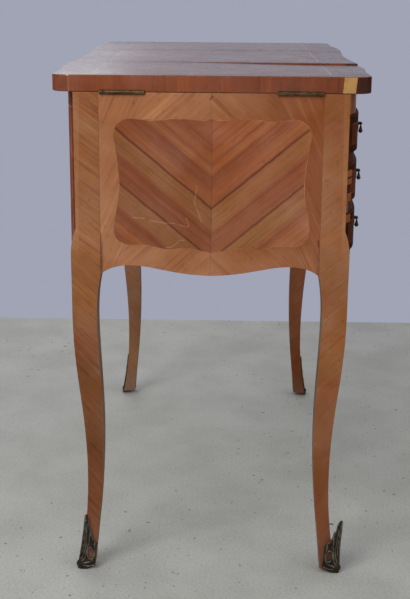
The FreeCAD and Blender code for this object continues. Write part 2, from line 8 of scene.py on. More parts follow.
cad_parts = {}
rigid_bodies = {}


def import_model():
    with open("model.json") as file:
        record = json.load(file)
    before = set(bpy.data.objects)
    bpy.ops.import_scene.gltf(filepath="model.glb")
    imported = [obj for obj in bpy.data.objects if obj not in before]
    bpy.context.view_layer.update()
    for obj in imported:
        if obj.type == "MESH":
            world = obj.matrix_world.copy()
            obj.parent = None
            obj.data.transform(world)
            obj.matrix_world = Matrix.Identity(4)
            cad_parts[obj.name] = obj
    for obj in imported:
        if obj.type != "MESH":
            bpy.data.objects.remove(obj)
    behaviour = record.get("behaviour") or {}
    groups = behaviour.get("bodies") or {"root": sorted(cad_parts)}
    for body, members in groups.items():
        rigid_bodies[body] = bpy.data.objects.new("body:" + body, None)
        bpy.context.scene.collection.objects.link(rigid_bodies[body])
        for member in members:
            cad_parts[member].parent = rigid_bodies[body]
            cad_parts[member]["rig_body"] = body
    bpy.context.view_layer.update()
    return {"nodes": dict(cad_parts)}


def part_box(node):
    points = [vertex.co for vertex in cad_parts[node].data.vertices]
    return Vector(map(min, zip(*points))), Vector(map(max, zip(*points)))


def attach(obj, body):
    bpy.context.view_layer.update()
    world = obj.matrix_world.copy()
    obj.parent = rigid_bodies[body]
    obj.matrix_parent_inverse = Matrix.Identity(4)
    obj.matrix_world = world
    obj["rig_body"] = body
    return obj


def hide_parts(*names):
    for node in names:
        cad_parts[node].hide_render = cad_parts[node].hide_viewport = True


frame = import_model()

nodes = frame["nodes"]
mm = 0.001
case = {
    "halfLength": 378 * mm, "halfDepth": 184 * mm, "lidUnderside": 697.6 * mm, "height": 720 * mm,
    "dividerPlace": 140 * mm,
}
print("frame loaded:", len(nodes), "nodes")


# Shader tree helpers. What a node puts out is a Value; numbers and colours go in as they are

class Value:        # a sum or a comparison with it adds a Math node to its tree
    def __init__(self, socket):
        self.socket = socket

    def __add__(self, other):
        return calc("ADD", self, other)

    def __radd__(self, other):
        return calc("ADD", other, self)

    def __sub__(self, other):
        return calc("SUBTRACT", self, other)

    def __rsub__(self, other):
        return calc("SUBTRACT", other, self)

    def __mul__(self, other):
        return calc("MULTIPLY", self, other)

    def __truediv__(self, other):
        return calc("DIVIDE", self, other)

    def __gt__(self, other):
        return calc("GREATER_THAN", self, other)

    def __lt__(self, other):
        return calc("LESS_THAN", self, other)

    def __abs__(self):
        return calc("ABSOLUTE", self)


def tone(red, green, blue):
    levels = (red / 255, green / 255, blue / 255)
    return tuple(c / 12.92 if c <= 0.04 else ((c + 0.055) / 1.055) ** 2.4 for c in levels) + (1.0,)


def timber(light, middle, dark):
    return {"light": tone(*light), "middle": tone(*middle), "dark": tone(*dark)}


def feed(value, socket):
    if isinstance(value, Value):
        socket.id_data.links.new(value.socket, socket)
    else:
        socket.default_value = value


def newNode(kind, values, tree=None, **settings):
    tree = tree or next(value.socket.id_data for value in values if isinstance(value, Value))
    node = tree.nodes.new("ShaderNode" + kind)
    for name, value in settings.items():
        setattr(node, name, value)
    return node


def outputs(node):
    return {socket.name: Value(socket) for socket in node.outputs}


def place(kind, feeds, tree=None, **settings):
    node = newNode(kind, feeds.values(), tree, **settings)
    for name, value in feeds.items():
        feed(value, node.inputs[name])
    return outputs(node)


def calc(operation, *values):
    node = newNode("Math", values, operation=operation)
    for socket, value in zip(node.inputs, values):
        feed(value, socket)
    return Value(node.outputs[0])


def vectorCalc(operation, first, second, output="Vector"):
    node = newNode("VectorMath", (first, second), operation=operation)
    feed(first, node.inputs[0])
    feed(second, node.inputs["Scale" if operation == "SCALE" else 1])
    return Value(node.outputs[output])


def fade(value, low, high, start=0.0, end=1.0, kind="SMOOTHSTEP"):
    return place("MapRange", {"Value": value, "From Min": low, "From Max": high, "To Min": start, "To Max": end},
                 interpolation_type=kind)["Result"]


def within(value, low, high, soft=0.3 * mm):
    return fade(value, low - soft, low + soft) * fade(value, high + soft, high - soft)


def mixColour(share, first, second, blend="MIX"):
    node = newNode("Mix", (share, first, second), data_type="RGBA", blend_type=blend)
    for index, value in ((0, share), (6, first), (7, second)):
        feed(value, node.inputs[index])
    return Value(node.outputs[2])


def tinted(share, shade, tint):
    return mixColour(share, shade, mixColour(1.0, shade, tint, "MULTIPLY"))


def combine(x, y, z=0.0):
    return place("CombineXYZ", {"X": x, "Y": y, "Z": z})["Vector"]


def noise(point, scale, detail=2.0, roughness=0.5):
    return place("TexNoise", {"Vector": point, "Scale": scale, "Detail": detail, "Roughness": roughness})["Fac"]


def newGroup(name, inputs, results):        # a number among the inputs is a Float's default
    tree = bpy.data.node_groups.new(name, "ShaderNodeTree")
    for label, kind in inputs.items():
        own = None if isinstance(kind, str) else kind
        kind = kind if own is None else "Float"
        socket = tree.interface.new_socket(label, in_out="INPUT", socket_type="NodeSocket" + kind)
        if own is not None:
            socket.default_value = own
    for label, kind in results.items():
        tree.interface.new_socket(label, in_out="OUTPUT", socket_type="NodeSocket" + kind)
    return outputs(tree.nodes.new("NodeGroupInput")), tree.nodes.new("NodeGroupOutput").inputs


def useGroup(name, **feeds):
    return place("Group", feeds, node_tree=bpy.data.node_groups[name])


def mark(point, start, end, width):
    return useGroup("mark", Point=point, Start=(*start, 0), End=(*end, 0), Width=width)["Mask"]


# Effects that several materials share

def buildVeneerGrain():
    given, made = newGroup("veneerGrain", {     # X of the point runs along the grain, Y across it
        "Point": "Vector", "Width": 2 * mm, "Stretch": 24.0, "Light": "Color", "Middle": "Color", "Dark": "Color",
        "Contrast": 1.0, "Pores": 0.3,
    }, {"Color": "Color", "Height": "Float"})
    axes = place("SeparateXYZ", {"Vector": given["Point"]})
    along = axes["X"] / given["Width"] / given["Stretch"]
    deep = axes["Z"] / given["Width"]
    waver = noise(combine(along * 0.6, 0.0, deep), 1.0, 1.0)
    point = combine(along, axes["Y"] / given["Width"] + waver * 1.6, deep)
    broad = noise(point, 0.28, 3.0, 0.6)
    fine = noise(point, 1.3, 2.0, 0.6)
    spread = (broad * 0.6 + fine * 0.4 - 0.5) * given["Contrast"]
    shade = mixColour(fade(spread, -0.16, -0.01), given["Dark"], given["Middle"])
    shade = mixColour(fade(spread, 0.01, 0.16), shade, given["Light"])
    dashes = noise(combine(axes["X"] * 90.0, axes["Y"] * 2600.0, deep), 1.0, 0.0)
    pores = fade(dashes, 0.6, 0.75) * given["Pores"]
    feed(tinted(pores, shade, tone(110, 70, 50)), made["Color"])
    feed(fine * 0.4 - pores, made["Height"])


def buildPatina():
    given, made = newGroup("patina", {"Color": "Color", "Point": "Vector", "Dirt": 0.3, "Gloss": 0.4},
                           {"Color": "Color", "Roughness": "Float"})
    clouds = noise(given["Point"], 11.0, 3.0, 0.6)
    spots = noise(given["Point"], 150.0, 2.0, 0.6)
    shade = place("HueSaturation", {"Color": given["Color"], "Value": fade(clouds, 0.3, 0.7, 0.88, 1.1), "Hue": 0.5,
                                    "Saturation": fade(clouds, 0.3, 0.7, 1.06, 0.95)})["Color"]
    grime = fade(spots, 0.58, 0.78) * given["Dirt"]
    feed(mixColour(grime, shade, tone(62, 40, 28)), made["Color"])
    streaks = noise(given["Point"], 45.0, 3.0, 0.7)
    feed(given["Gloss"] + fade(streaks, 0.35, 0.75, -0.05, 0.14), made["Roughness"])


def buildRubbedEdge():
    given, made = newGroup("rubbedEdge", {"Point": "Vector", "Reach": 1.5 * mm}, {"Mask": "Float"})
    soft = place("Bevel", {"Radius": given["Reach"]}, samples=4)["Normal"]
    true = place("NewGeometry", {}, given["Reach"].socket.id_data)["Normal"]
    turn = 1.0 - vectorCalc("DOT_PRODUCT", soft, true, "Value")
    worn = noise(given["Point"], 70.0, 3.0, 0.6)
    feed(fade(turn, 0.03, 0.2) * fade(worn, 0.35, 0.65), made["Mask"])


def buildMark():
    given, made = newGroup("mark", {        # a straight scratch or line between two points
        "Point": "Vector", "Start": "Vector", "End": "Vector", "Width": 0.5 * mm,
    }, {"Mask": "Float"})
    reach = vectorCalc("SUBTRACT", given["Point"], given["Start"])
    run = vectorCalc("SUBTRACT", given["End"], given["Start"])
    share = vectorCalc("DOT_PRODUCT", reach, run, "Value") / vectorCalc("DOT_PRODUCT", run, run, "Value")
    share = calc("MINIMUM", calc("MAXIMUM", share, 0.0), 1.0)
    gap = vectorCalc("DISTANCE", reach, vectorCalc("SCALE", run, share), "Value")
    feed(1 - fade(gap, given["Width"] * 0.3, given["Width"]), made["Mask"])


def buildFieldBorder():
    given, made = newGroup("fieldBorder", {     # a rectangular field with a line of stringing round it
        "U": 0.0, "V": 0.0, "HalfU": 0.1, "HalfV": 0.1, "Line": 1 * mm,
    }, {"Inside": "Float", "Line": "Float", "Side": "Float"})
    overU = abs(given["U"]) - given["HalfU"]
    overV = abs(given["V"]) - given["HalfV"]
    over = calc("MAXIMUM", overU, overV)
    feed(over < 0.0, made["Inside"])
    feed(abs(over) < given["Line"] * 0.5, made["Line"])
    feed(overU > overV, made["Side"])


for build in (buildVeneerGrain, buildPatina, buildRubbedEdge, buildMark, buildFieldBorder):
    build()
print("effects built")


# Every material starts from the piece's own coordinates, which move with it

materials = {}


def newMaterial(name, rough=0.4, shine=0.3, **plain):
    material = materials[name] = bpy.data.materials.new(name)
    material.use_nodes = True
    surface = material.node_tree.nodes["Principled BSDF"].inputs
    for label, value in {"Roughness": rough, "Specular IOR Level": shine, **plain}.items():
        surface[label].default_value = value
    own = place("TexCoord", {}, material.node_tree)
    axes, facing = (place("SeparateXYZ", {"Vector": own[kind]}) for kind in ("Object", "Normal"))
    return surface, own["Object"], axes.values(), facing


def bump(surface, height, distance=0.1 * mm, strength=0.5):
    feed(place("Bump", {"Height": height, "Distance": distance, "Strength": strength})["Normal"], surface["Normal"])


def finishWood(surface, spot, colour, height, look, relief=0.5):
    aged = useGroup("patina", Color=colour, Point=spot, Dirt=look["dirt"], Gloss=look["gloss"])
    shade = aged["Color"]
    if "edge" in look:
        rub = useGroup("rubbedEdge", Point=spot, Reach=1.5 * mm)["Mask"]
        shade = mixColour(rub * 0.55, shade, look["edge"])
    feed(shade, surface["Base Color"])
    feed(aged["Roughness"], surface["Roughness"])
    bump(surface, height, strength=relief)
    return aged["Roughness"]


def grain(point, look):
    parts = ("width", "stretch", "light", "middle", "dark", "contrast", "pores")
    return useGroup("veneerGrain", Point=point, **{part.title(): look[part] for part in parts})


legLook = {
    **timber((160, 109, 70), (144, 93, 59), (116, 70, 46)),
    "width": 1.8 * mm, "stretch": 12.0, "contrast": 0.9, "frontContrast": 0.62, "pores": 0.15,
    "slantNear": 0.62, "slantRise": 0.6,        # the grain leans further over towards the top
    "shifts": (0.031, 0.017, 0.009),            # no two faces show the same grain
    "bandSpan": (0.496, 0.693), "bandWidths": (4.5 * mm, 8.8 * mm), "bandFade": (0.46, 0.5),    # by the outer arris
    "footSpan": (0.36, 0.05), "soilSpan": (0.07, 0.0), "headSpan": (0.58, 0.66), "innerSpan": (0.5, 0.45),
    "bandTone": tone(160, 114, 72), "lineTone": tone(122, 74, 44), "bandShare": 0.35,
    "gold": tone(255, 240, 206), "red": tone(255, 232, 222), "footTone": tone(212, 198, 192),
    "backTone": (0.71, 0.69, 0.67, 1), "backSpan": (0.13, 0.37), "soil": tone(98, 76, 62),
    "inner": tone(116, 91, 73), "innerRough": 0.8, "innerShare": 0.85, "turnedIn": (-0.45, -0.6),
    "innerFrontShade": (0.96, 0.82, 0.72, 1), "innerBackSkyLight": (1.26, 1.7, 2.1, 1),      # faces towards the kneehole, tinted as painted light: warmer shade on the front legs, bluish skylight on the back legs
    # painted shade: the front legs darker at the top (first tone below)
    "headShadeTone": (0.91, 0.83, 0.68, 1), "kneeTone": (1.05, 1.14, 1.32, 1), "knee": (0.36, 0.47),     # front legs
    "edge": tone(176, 126, 84), "gloss": 0.4, "dirt": 0.3,
}


def legVeneer():
    look = legLook
    surface, spot, (x, y, z), facing = newMaterial("legVeneer", shine=0.25)
    inX = case["halfLength"] - abs(x)
    inY = case["halfDepth"] - abs(y)
    sideFace = abs(facing["X"]) > abs(facing["Y"])
    across = inX + inY + (z * look["slantNear"] + z * z * look["slantRise"])
    shiftX, shiftY, shiftFace = look["shifts"]
    which = calc("SIGN", x) * shiftX + calc("SIGN", y) * shiftY + sideFace * shiftFace
    outX = facing["X"] * calc("SIGN", x)
    outY = facing["Y"] * calc("SIGN", y)
    plain = calc("MAXIMUM", y < 0.0, outX < -0.5)
    contrast = fade(plain, 0.0, 1.0, look["contrast"], look["frontContrast"])
    wood = grain(combine(z, across, which), {**look, "contrast": contrast})
    clouds = noise(spot, 13.0, 3.0, 0.6)
    shade = tinted(fade(clouds, 0.45, 0.65), wood["Color"], look["gold"])
    shade = tinted(fade(clouds, 0.5, 0.32), shade, look["red"])
    upper = fade(z, *look["bandFade"])
    past = (sideFace * inY + (1 - sideFace) * inX) - fade(z, *look["bandSpan"], *look["bandWidths"], "LINEAR")
    shade = mixColour(fade(past, 0.2 * mm, -0.2 * mm) * upper * look["bandShare"], shade, look["bandTone"])
    shade = mixColour(fade(abs(past), 0.6 * mm, 0.1 * mm) * upper * look["bandShare"], shade, look["lineTone"])
    shade = tinted(fade(z, *look["footSpan"]), shade, look["footTone"])
    atBack = y > 0.0
    atFront = 1.0 - atBack
    # the last of these tints is painted shade at the top of the front legs
    for part, span, tint in ((atBack, within(z, *look["backSpan"], 0.05), look["backTone"]),
                             (atFront, within(z, *look["knee"], 0.04), look["kneeTone"]),
                             (atFront, fade(z, *look["headSpan"]), look["headShadeTone"])):
        shade = tinted(part * span, shade, tint)
    shade = mixColour(fade(z, *look["soilSpan"], 0.0, 0.6), shade, look["soil"])
    # painted light and shade on the faces towards the kneehole
    shade = tinted(fade(outX, *look["turnedIn"]), shade, mixColour(atBack, look["innerFrontShade"], look["innerBackSkyLight"]))
    # inner faces: rougher bare wood, darkened partly for that and partly as painted shade
    inner = fade(outY, *look["turnedIn"]) * fade(z, *look["innerSpan"])
    shade = mixColour(inner * look["innerShare"], shade, look["inner"])
    dull = finishWood(surface, spot, shade, wood["Height"], look)
    feed(calc("MAXIMUM", dull, inner * look["innerRough"]), surface["Roughness"])


panelLook = {
    **timber((180, 126, 87), (162, 107, 73), (141, 88, 57)),
    "width": 2.4 * mm, "stretch": 30.0, "contrast": 0.85, "pores": 0.12, "stripLean": 0.45,
    "mitreTop": (105 * mm, 662.5 * mm, 87.5 * mm, 696 * mm),        # place and level of the mitre's two ends
    "mitreFoot": (118 * mm, 490 * mm, 134 * mm, 455 * mm),
    "seamTone": tone(96, 56, 36), "edge": tone(150, 98, 62), "gloss": 0.38, "dirt": 0.25,
    # painted shade: the side panel darker towards the front, where less light falls
    "frontShadeTone": tone(207, 172, 127), "frontSpan": (0.04, -0.12), "frontRise": (0.46, 0.52),
    # painted light: the top of the side panel lighter towards the back, where the light falls
    "friezeLightTone": (1.1, 1.11, 1.15, 1), "friezeSpan": (0.0, 0.08), "friezeRise": (0.655, 0.67),
    "stainTone": tone(84, 36, 28),              # two short stains: place, level and half their run
    "stains": [(0.0, 691 * mm, -1.6 * mm, 1.8 * mm), (-148 * mm, 495 * mm, 0.4 * mm, 4 * mm)],
}


def panelVeneer():
    look = panelLook
    surface, spot, (x, y, z), facing = newMaterial("panelVeneer")
    away = abs(y)
    marks = []
    for y0, z0, y1, z1 in (look["mitreTop"], look["mitreFoot"]):
        slope = (y1 - y0) / (z1 - z0)
        marks.append(away - (y0 + (z - z0) * slope))
    above, below = z > look["mitreTop"][1], z < look["mitreFoot"][1]
    out = above * marks[0] + below * marks[1] + (1 - (above + below))
    stripPart = out > 0.0
    middle = calc("SIGN", y)
    upright = grain(combine(z, away + z * look["stripLean"], middle * 0.02), look)
    slanted = grain(combine(z - away, z + away * 0.9, middle * 0.013), look)
    shade = mixColour(stripPart, slanted["Color"], upright["Color"])
    height = stripPart * upright["Height"] + (1 - stripPart) * slanted["Height"]
    mitre = fade(abs(out), 0.7 * mm, 0.2 * mm, 0.0, 0.45)
    seam = fade(away, 0.5 * mm, 0.15 * mm, 0.0, 0.4)
    shade = mixColour(calc("MAXIMUM", mitre, seam), shade, look["seamTone"])
    # painted shade towards the front of the side panel
    shade = tinted(fade(y, *look["frontSpan"]) * fade(z, *look["frontRise"], 0.4), shade, look["frontShadeTone"])
    # painted light on the back of the panel's top
    shade = tinted(fade(y, *look["friezeSpan"]) * fade(z, *look["friezeRise"]), shade, look["friezeLightTone"])
    for atY, atZ, runY, runZ in look["stains"]:
        dab = mark(combine(y, z), (atY - runY, atZ - runZ), (atY + runY, atZ + runZ), 1.5 * mm)
        shade = mixColour(dab * (x < 0.0) * 0.7, shade, look["stainTone"])
    bare = grain(combine(z, y, x), oakLook)
    shade = mixColour(facing["X"] * calc("SIGN", x) > 0.5, bare["Color"], shade)
    finishWood(surface, spot, shade, height, look)


oakLook = {
    **timber((190, 155, 112), (164, 126, 86), (134, 98, 62)),
    "width": 1.6 * mm, "stretch": 30.0, "contrast": 1.0, "pores": 0.6, "gloss": 0.62, "dirt": 0.55,
    "edge": tone(120, 88, 58),
}


def bareOak():
    surface, spot, (x, y, z), facing = newMaterial("bareOak")
    wood = grain(combine(y, x + z, z), oakLook)
    finishWood(surface, spot, wood["Color"], wood["Height"], oakLook)


# The cartouche: book-matched bands that rise outwards from the centre line like a V
cartoucheLook = {
    "middle": -1.5 * mm, "slope": 0.835, "lean": radians(39.7),
    "width": 1.2 * mm, "stretch": 60.0, "contrast": 1.05, "pores": 0.2,
    "red": tone(133, 76, 49), "deepRed": tone(140, 78, 49), "olive": tone(138, 88, 55), "line": tone(102, 54, 34),
    "orange": tone(144, 85, 53), "rust": tone(124, 68, 43),
    "gloss": 0.34, "dirt": 0.2, "scratchTone": tone(196, 150, 118),
    "liftLow": (1.24, 1.38, 1.5, 1), "liftMiddle": (1.09, 0.97, 0.82, 1), "liftTop": (1.2, 1.22, 1.2, 1),
    "middleRise": (0.525, 0.575), "topRise": (0.6, 0.64),         # the lifts lighten the front half
    "waver": 3 * mm, "ragged": 3.2 * mm, "seamTone": tone(84, 44, 30),
    # level where each tone lies on the centre line, from the bottom up
    "bands": [(400, "red"), (412, "orange"), (424, "red"), (430, "rust"), (439, "red"), (443, "olive"),
              (468.5, "olive"), (471, "line"), (472.2, "line"), (474.5, "red"), (498, "red"), (505, "rust"),
              (510, "red"), (514, "olive"), (539, "olive"), (541.4, "line"), (542.6, "line"), (545, "red"),
              (556, "orange"), (568, "red"), (584, "rust"), (590, "orange"), (597, "orange"), (601, "red"),
              (608, "orange"), (616, "orange"), (619, "red"), (624, "deepRed"), (632, "red"), (640, "deepRed"),
              (664, "deepRed")],
    "scratches": [[(18.7, 573.7), (20, 560), (22, 550), (17.5, 540), (12, 523.8)],
                  [(82.5, 525), (65, 522), (50, 521.2), (31.2, 516.2), (28.7, 518.8), (33, 528.8)],
                  [(105, 528.8), (90, 527.5)],
                  [(60, 487.5), (53.7, 487.5), (45, 493.8), (42.5, 497.5), (35, 498)]],
}


def cartoucheVeneer():
    look = cartoucheLook
    surface, spot, (x, y, z), facing = newMaterial("cartoucheVeneer")
    off = y - look["middle"]
    away = abs(off)
    level = z - away * look["slope"]
    waver = noise(combine(off + z, 0.0), 18.0, 1.0)
    ragged = noise(combine(y, z), 70.0, 3.0, 0.6)
    level = level + (waver - 0.5) * look["waver"] + (ragged - 0.5) * look["ragged"]
    low, high = look["bands"][0][0] * mm, look["bands"][-1][0] * mm
    share = fade(level, low, high, kind="LINEAR")
    ramp = newNode("ValToRGB", [share])
    feed(share, ramp.inputs["Fac"])
    stops = ramp.color_ramp.elements
    while len(stops) < len(look["bands"]):
        stops.new(1.0)
    for stop, (height, name) in zip(stops, look["bands"]):
        stop.position = (height * mm - low) / (high - low)
        stop.color = look[name]
    along = away * cos(look["lean"]) + z * sin(look["lean"])
    across = level * cos(look["lean"])
    white = {**look, "light": (1.22, 1.22, 1.2, 1), "middle": (1, 1, 1, 1), "dark": (0.78, 0.74, 0.72, 1)}
    streaks = grain(combine(along, across, calc("SIGN", off) * 0.004), white)
    shade = mixColour(1.0, outputs(ramp)["Color"], streaks["Color"], "MULTIPLY")
    lift = mixColour(fade(z, *look["middleRise"]), look["liftLow"], look["liftMiddle"])
    lift = mixColour(fade(z, *look["topRise"]), lift, look["liftTop"])
    shade = tinted(fade(off, 0.5 * mm, -0.5 * mm), shade, lift)
    shade = mixColour(fade(away, 0.6 * mm, 0.15 * mm, 0.0, 0.5), shade, look["seamTone"])
    flat = combine(y, z)
    worst = 0.0
    for line in look["scratches"]:
        for (y0, z0), (y1, z1) in zip(line, line[1:]):
            worst = calc("MAXIMUM", mark(flat, (y0 * mm, z0 * mm), (y1 * mm, z1 * mm), 1.1 * mm), worst)
    broken = fade(noise(spot, 180.0, 2.0, 0.6), 0.3, 0.6, 0.1, 0.38)
    shade = mixColour(worst * (x < 0.0) * broken, shade, look["scratchTone"])
    finishWood(surface, spot, shade, streaks["Height"], look)


def stringingWood():
    surface, spot, (x, y, z), facing = newMaterial("stringingWood")
    look = {**panelLook, **timber((186, 134, 92), (164, 112, 74), (142, 92, 60)),
            "width": 4 * mm, "stretch": 3.0, "contrast": 1.6, "frontShadeTint": (0.88, 0.8, 0.72, 1)}
    wood = grain(combine(z, y), look)
    # painted shade: the string darker towards the front
    shade = tinted(fade(y, 0.03, -0.03), wood["Color"], look["frontShadeTint"])
    finishWood(surface, spot, shade, wood["Height"], {"dirt": 0.3, "gloss": 0.4})


# Flat work with a bordered field: the grain of the field is matched about its middle, and the border is laid
# across its edge
def borderedWood(name, look, axisU, axisV, centreU, centreV, halfU, halfV, faceAxis, faceSign=1.0, mirrored=True):
    surface, spot, axes, facing = newMaterial(name, shine=look.get("shine", 0.3))
    named = dict(zip("XYZ", axes))
    u = (abs(named[axisU]) if mirrored else named[axisU]) - centreU
    v = named[axisV] - centreV
    field = useGroup("fieldBorder", U=u, V=v, HalfU=halfU, HalfV=halfV, Line=look["line"])
    awayU, awayV = abs(u), abs(v)
    inner = grain(combine(awayU - awayV, awayU + awayV * look["fieldSlope"], 0.003), look)
    across = field["Side"] * v + (1 - field["Side"]) * u
    border = grain(combine(0.0, across, 0.011), {**look, **look["borderTones"]})
    shade = mixColour(field["Inside"], border["Color"], inner["Color"])
    shade = mixColour(field["Line"] * 0.85, shade, look["stringing"])
    height = inner["Height"] + field["Line"] * 0.3
    return surface, spot, axes, facing, shade, height, facing[faceAxis] * faceSign > 0.5


topLook = {
    **timber((138, 97, 68), (116, 77, 52), (91, 57, 38)),
    "borderTones": timber((123, 83, 58), (101, 63, 43), (79, 46, 32)),
    "width": 2.4 * mm, "stretch": 40.0, "contrast": 1.0, "pores": 0.25, "fieldSlope": 0.8,
    "line": 1.1 * mm, "stringing": tone(196, 152, 106), "gloss": 0.3, "dirt": 0.25, "edge": tone(166, 114, 76),
    "coat": 0.7, "coatRoughness": 0.28, "earSeam": 189.4 * mm, "earTone": tone(116, 62, 42),
    "seamTone": tone(164, 152, 138), "chipHighlight": (190.5 * mm, 719.6 * mm), "chipHighlightTone": tone(226, 220, 210),
    "patch": (-191.5 * mm, -174.5 * mm), "patchTone": tone(186, 144, 86), "darkEarTone": tone(56, 24, 14),
    "frontShadeTone": tone(220, 204, 184), "shadeTone": tone(58, 30, 22), "repairDepth": 13 * mm,
    "patchLean": 0.085, "patchMiddle": 709.8 * mm, "frontSpan": (0.05, -0.15),
    "cornerShadeY": (-197 * mm, -200 * mm), "cornerShadeX": (-120 * mm, -136 * mm),         # the leaf's front corner, darkened as painted shade
    "rim": {**timber((154, 88, 58), (137, 76, 50), (116, 61, 39)), "width": 3.6 * mm, "contrast": 0.8},
    "under": timber((134, 92, 64), (116, 76, 51), (94, 58, 39)),
}


def topVeneer(name, middleU, halfU, nearFlap=False, leaf=False):
    look = topLook
    surface, spot, (x, y, z), facing, shade, height, face = borderedWood(
        name, look, "X", "Y", middleU, 0.0, halfU, 160 * mm, "Z")
    sideFace = abs(facing["X"]) > 0.7
    across = sideFace * y + (1 - sideFace) * x
    rim = grain(combine(z, across, 0.007), {**look, **look["rim"]})
    # painted shade: the lid's end edges darker towards the front
    rimShade = tinted(fade(y, *look["frontSpan"]) * sideFace, rim["Color"], look["frontShadeTone"])
    broad = noise(combine(x, y), 16.0, 2.0, 0.6)
    rimShade = tinted(fade(broad, 0.4, 0.62, 0.3, 0.0), rimShade, look["patchTone"])
    underneath = facing["Z"] < -0.5
    underside = grain(combine(y, x, 0.023), {**look, **look["under"]})
    shade = mixColour(face, mixColour(underneath, rimShade, underside["Color"]), shade)
    if nearFlap:
        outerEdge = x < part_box("flap_left")[0].x + look["repairDepth"]
        rimPart = (1 - calc("MAXIMUM", face, underneath)) * outerEdge
        ear = fade(y, look["earSeam"] - 0.4 * mm, look["earSeam"] + 0.4 * mm) * rimPart
        shade = mixColour(ear * 0.6, shade, look["earTone"])
        seam = fade(abs(y - look["earSeam"]), 0.6 * mm, 0.2 * mm, 0.0, 0.4)
        shade = mixColour(seam * rimPart, shade, look["seamTone"])
        # a chip on the top edge, painted near-white as a highlight
        chipY, chipZ = look["chipHighlight"]
        chipHighlight = mark(combine(y, z), (chipY - mm, chipZ), (chipY + mm, chipZ), 1.0 * mm)
        shade = mixColour(chipHighlight * sideFace, shade, look["chipHighlightTone"])
        low, high = look["patch"]
        slanted = y + (z - look["patchMiddle"]) * look["patchLean"]
        shade = mixColour(within(slanted, low, high) * rimPart * 0.85, shade, look["patchTone"])
        brown = fade(slanted, low + 0.3 * mm, low - 0.3 * mm) * rimPart
        shade = mixColour(brown * 0.9, shade, look["darkEarTone"])
    if leaf:
        # painted shade: the leaf's end edge darkened towards its front corner
        cornerShadeMask = fade(y, *look["cornerShadeY"]) * (1 - face) * fade(x, *look["cornerShadeX"])
        shade = mixColour(cornerShadeMask * 0.85, shade, look["shadeTone"])
    surface["Coat Roughness"].default_value = look["coatRoughness"]
    feed(face * look["coat"], surface["Coat Weight"])
    finishWood(surface, spot, shade, height, look, relief=0.1)


drawerLook = {
    **timber((110, 56, 31), (84, 38, 20), (56, 25, 14)),
    "borderTones": timber((80, 40, 21), (59, 27, 14), (39, 18, 11)),
    # painted shade over the whole of the lower drawers' fronts
    "lowerDrawerShade": (0.72, 0.74, 0.78, 1),
    "width": 1.8 * mm, "stretch": 30.0, "contrast": 1.1, "pores": 0.3, "fieldSlope": 0.75,
    "line": 1.0 * mm, "stringing": tone(124, 74, 44), "gloss": 0.58, "shine": 0.03, "dirt": 0.3,
    "edge": tone(100, 58, 36), "border": 11 * mm, "sideStain": tone(72, 40, 26),       # of the front's thin edges
    "repairEnd": -329 * mm,                     # old repairs beside the near leg
    "upperDrawerVeneer": [(570.5, 578.5, tone(134, 78, 45)), (581, 590, tone(140, 84, 52)),
                          (545, 558, tone(126, 73, 42))],
    "lowerDrawerVeneer": [(517, 530, tone(150, 84, 50))],
}


def frontVeneer(name, node, mirrored=True):
    look = drawerLook
    low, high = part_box(node)
    halfU, halfV = (high.x - low.x) / 2, (high.z - low.z) / 2
    centreU = abs(low.x + high.x) / 2 if mirrored else 0.0
    surface, spot, (x, y, z), facing, shade, height, face = borderedWood(
        name, look, "X", "Z", centreU, (low.z + high.z) / 2, halfU - look["border"], halfV - look["border"],
        "Y", -1.0, mirrored)
    bare = grain(combine(x, z + y), oakLook)
    bare = mixColour(facing["Y"] > 0.5, mixColour(0.85, bare["Color"], look["sideStain"]), bare["Color"])
    margin = fade(x, look["repairEnd"] + mm, look["repairEnd"])
    for start, end, repair in look.get(name, ()):
        shade = mixColour(margin * within(z, start * mm, end * mm), shade, repair)
    shade = mixColour(face, bare, shade)
    # painted shade: the lower drawers' fronts darkened all over
    if name == "lowerDrawerVeneer":
        shade = mixColour(1.0, shade, look["lowerDrawerShade"], "MULTIPLY")
    finishWood(surface, spot, shade, height, look)


backLook = {
    **timber((144, 84, 56), (124, 64, 43), (98, 46, 32)),
    "borderTones": timber((132, 74, 49), (110, 57, 38), (83, 40, 28)),
    "endTone": (1.17, 0.72, 0.7, 1), "ends": (323 * mm, 335 * mm),
    "field": (240 * mm, 580 * mm, 84 * mm, 92 * mm),        # place, level, half length and half height
    "width": 2.4 * mm, "stretch": 40.0, "contrast": 0.9, "pores": 0.25, "fieldSlope": 0.8,
    "line": 1.0 * mm, "stringing": tone(186, 132, 86), "gloss": 0.5, "shine": 0.1, "dirt": 0.35,
    "edge": tone(150, 92, 58),
}


def backVeneer():
    look = backLook
    surface, spot, (x, y, z), facing, shade, height, face = borderedWood(
        "backVeneer", look, "X", "Z", *look["field"], "Y")
    shade = tinted(fade(abs(x), *look["ends"]), shade, look["endTone"])
    bare = grain(combine(x, z, y), oakLook)
    shade = mixColour(facing["Y"] < -0.5, shade, bare["Color"])
    finishWood(surface, spot, shade, height, look)


railLook = {
    **timber((150, 98, 66), (124, 74, 48), (90, 48, 32)),
    "width": 2.0 * mm, "stretch": 20.0, "contrast": 1.0, "pores": 0.3, "gloss": 0.34, "dirt": 0.3,
    "edge": tone(140, 92, 58), "repair": (-329 * mm, 655 * mm, 700 * mm, tone(160, 98, 56)), "lowest": 600 * mm,
}


boardLook = {       # the front edges of the floors between the drawers, darkened partly as painted shade between the drawers
    **railLook, **timber((104, 50, 28), (78, 34, 19), (52, 22, 13)), "gloss": 0.58,
    "edge": tone(98, 56, 34), "proud": -162 * mm, "repair": (-329 * mm, 500 * mm, 560 * mm, tone(140, 84, 50)),
}


